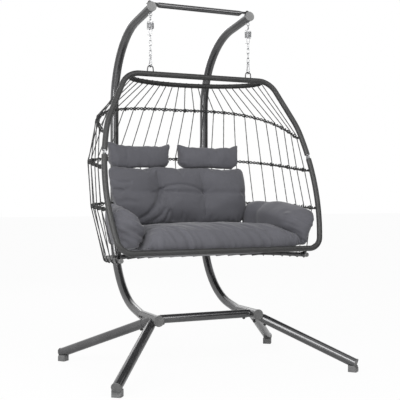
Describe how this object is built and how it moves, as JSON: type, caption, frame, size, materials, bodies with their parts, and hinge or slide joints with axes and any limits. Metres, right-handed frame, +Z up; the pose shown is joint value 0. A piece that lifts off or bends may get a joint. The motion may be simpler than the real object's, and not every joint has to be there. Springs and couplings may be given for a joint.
{
  "type": "hanging egg chair with stand",
  "caption": "Wide hanging egg chair: a cushioned rope-net basket slung by springs, chains and snap hooks from a free-standing stand of bent tubes.",
  "frame": {"origin": "on the ground, at the middle of the chair's outline seen from above", "axes": "+Z up, the open front faces -Y, +X to the right of someone looking in from the front"},
  "size_m": [1.3728, 1.1437, 1.9693],
  "materials": {
    "stand_paint": "satin powder coat",
    "frame_paint": "satin powder coat",
    "cap_plastic": "moulded",
    "foot_rubber": "moulded",
    "zinc": "zinc plated",
    "woven_wrap": "fine flat weave",
    "arc_rope": "covered with twisted cord",
    "net_rope": "twisted cord",
    "cushion_fabric": "woven cloth"
  },
  "bodies": {
    "stand": {"foot_pads": "foot_rubber", "left_front_leg": "stand_paint", "left_hub": "stand_paint", "left_rear_leg": "stand_paint", "left_upright_lower": "stand_paint", "left_upright_upper": "stand_paint", "lower_crossbar": "stand_paint", "right_front_leg": "stand_paint", "right_hub": "stand_paint", "right_rear_leg": "stand_paint", "right_upright_lower": "stand_paint", "right_upright_upper": "stand_paint", "upper_crossbar": "stand_paint", "tube_end_caps": "cap_plastic", "eye_bolts": "zinc", "eye_bolt_nuts": "zinc"},
    "left_top_link": {"left_top_link": "zinc"},
    "left_spring_hanger": {"left_joining_link": "zinc", "left_upper_drawbar": "zinc", "left_spring": "zinc"},
    "left_chain": {"left_lower_drawbar": "zinc", "left_chain": "zinc"},
    "left_hook": {"left_snap_hook": "zinc"},
    "left_hook_gate": {"left_hook_gate": "zinc"},
    "right_top_link": {"right_top_link": "zinc"},
    "right_spring_hanger": {"right_joining_link": "zinc", "right_upper_drawbar": "zinc", "right_spring": "zinc"},
    "right_chain": {"right_lower_drawbar": "zinc", "right_chain": "zinc"},
    "right_hook": {"right_snap_hook": "zinc"},
    "right_hook_gate": {"right_hook_gate": "zinc"},
    "basket": {"loop_upper_tube": "zinc", "loop_upper_wrap": "woven_wrap", "hanging_lugs": "frame_paint", "top_rail": "arc_rope", "upper_arc": "arc_rope", "upper_net": "net_rope", "middle_net": "net_rope", "hinge_tongues": "zinc", "upper_arc_lugs": "frame_paint"},
    "basket_lower": {"loop_lower_tube": "zinc", "loop_lower_wrap": "woven_wrap", "hinge_clevises": "zinc", "hinge_pins": "zinc", "middle_arc": "arc_rope", "lower_arc": "arc_rope", "lower_arc_lugs": "frame_paint", "seat_rail": "arc_rope", "seat_rail_caps": "cap_plastic", "seat_brackets": "frame_paint", "lower_net": "net_rope", "seat_net": "net_rope", "seat_cushion": "cushion_fabric", "back_cushion": "cushion_fabric", "left_arm_cushion": "cushion_fabric", "right_arm_cushion": "cushion_fabric", "left_head_pillow": "cushion_fabric", "right_head_pillow": "cushion_fabric"}
  },
  "joints": [
    {"name": "left_swing", "type": "hinge", "parent": "stand", "child": "left_top_link", "pos_m": [-0.295, -0.037, 1.88464], "axis": [1, 0, 0], "range_deg": [-20, 5]},
    {"name": "left_sway", "type": "hinge", "parent": "left_top_link", "child": "left_spring_hanger", "pos_m": [-0.295, -0.037, 1.87494], "axis": [0, 1, 0], "range_deg": [-5, 5]},
    {"name": "left_bounce", "type": "slide", "parent": "left_spring_hanger", "child": "left_chain", "axis": [0, 0, -1], "range_m": [-0.004, 0.008], "stiffness_N_per_m": 70000, "springref_m": -0.00684, "deforming": ["left_spring"]},
    {"name": "left_hook_sway", "type": "hinge", "parent": "left_chain", "child": "left_hook", "pos_m": [-0.295, -0.037, 1.67721], "axis": [0, 1, 0], "range_deg": [-5, 5]},
    {"name": "left_gate_opening", "type": "hinge", "parent": "left_hook", "child": "left_hook_gate", "pos_m": [-0.295, -0.04559, 1.6641], "axis": [1, 0, 0], "range_deg": [0, 25], "stiffness_Nm_per_rad": 0.05, "springref_deg": -17.19},
    {"name": "right_swing", "type": "hinge", "parent": "stand", "child": "right_top_link", "pos_m": [0.295, -0.037, 1.88464], "axis": [1, 0, 0], "range_deg": [-20, 5]},
    {"name": "right_sway", "type": "hinge", "parent": "right_top_link", "child": "right_spring_hanger", "pos_m": [0.295, -0.037, 1.87494], "axis": [0, 1, 0], "range_deg": [-5, 5]},
    {"name": "right_bounce", "type": "slide", "parent": "right_spring_hanger", "child": "right_chain", "axis": [0, 0, -1], "range_m": [-0.004, 0.008], "deforming": ["right_spring"]},
    {"name": "right_hook_sway", "type": "hinge", "parent": "right_chain", "child": "right_hook", "pos_m": [0.295, -0.037, 1.67721], "axis": [0, 1, 0], "range_deg": [-5, 5]},
    {"name": "right_gate_opening", "type": "hinge", "parent": "right_hook", "child": "right_hook_gate", "pos_m": [0.295, -0.04559, 1.6641], "axis": [1, 0, 0], "range_deg": [0, 25], "stiffness_Nm_per_rad": 0.05, "springref_deg": -17.19},
    {"name": "basket_pitch", "type": "hinge", "parent": "left_hook", "child": "basket", "pos_m": [-0.295, -0.037, 1.62126], "axis": [1, 0, 0], "range_deg": [-6, 2]},
    {"name": "basket_fold", "type": "hinge", "parent": "basket", "child": "basket_lower", "pos_m": [0, -0.18377, 1.14376], "axis": [1, 0, 0], "range_deg": [0, 10], "deforming": ["middle_net"]}
  ],
  "couplings": [
    {"joint": "right_swing", "follows": "left_swing", "ratio": 1},
    {"joint": "right_sway", "follows": "left_sway", "ratio": 1},
    {"joint": "right_bounce", "follows": "left_bounce", "ratio": 1},
    {"joint": "left_hook_sway", "follows": "left_sway", "ratio": -1},
    {"joint": "right_hook_sway", "follows": "left_sway", "ratio": -1}
  ]
}
